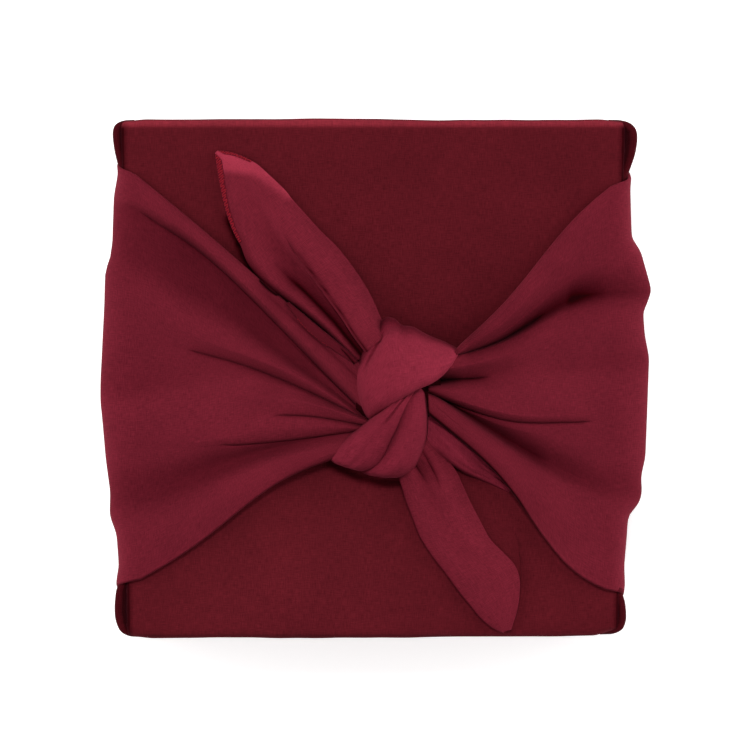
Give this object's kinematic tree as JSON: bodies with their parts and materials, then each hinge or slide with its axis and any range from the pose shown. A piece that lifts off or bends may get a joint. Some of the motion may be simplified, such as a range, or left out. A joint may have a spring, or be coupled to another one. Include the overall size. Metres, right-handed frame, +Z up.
{
  "type": "furoshiki wrap on a box",
  "caption": "Square cloth folded round a flat box, gathered from both sides and tied in a square knot on top, with two free tails.",
  "frame": {"origin": "middle of the wrapped box's flat base, on the surface that it rests on", "axes": "+Z up from the base through the knot, +Y towards the end where the upper tail points, +X to the right seen from above with +Y away"},
  "size_m": [0.2628, 0.2466, 0.1113],
  "materials": {
    "burgundy_cotton": "matte plain weave",
    "carton": "matte plain board"
  },
  "bodies": {
    "root": {"furoshiki_cloth": "burgundy_cotton", "gift_box": "carton"}
  },
  "joints": []
}
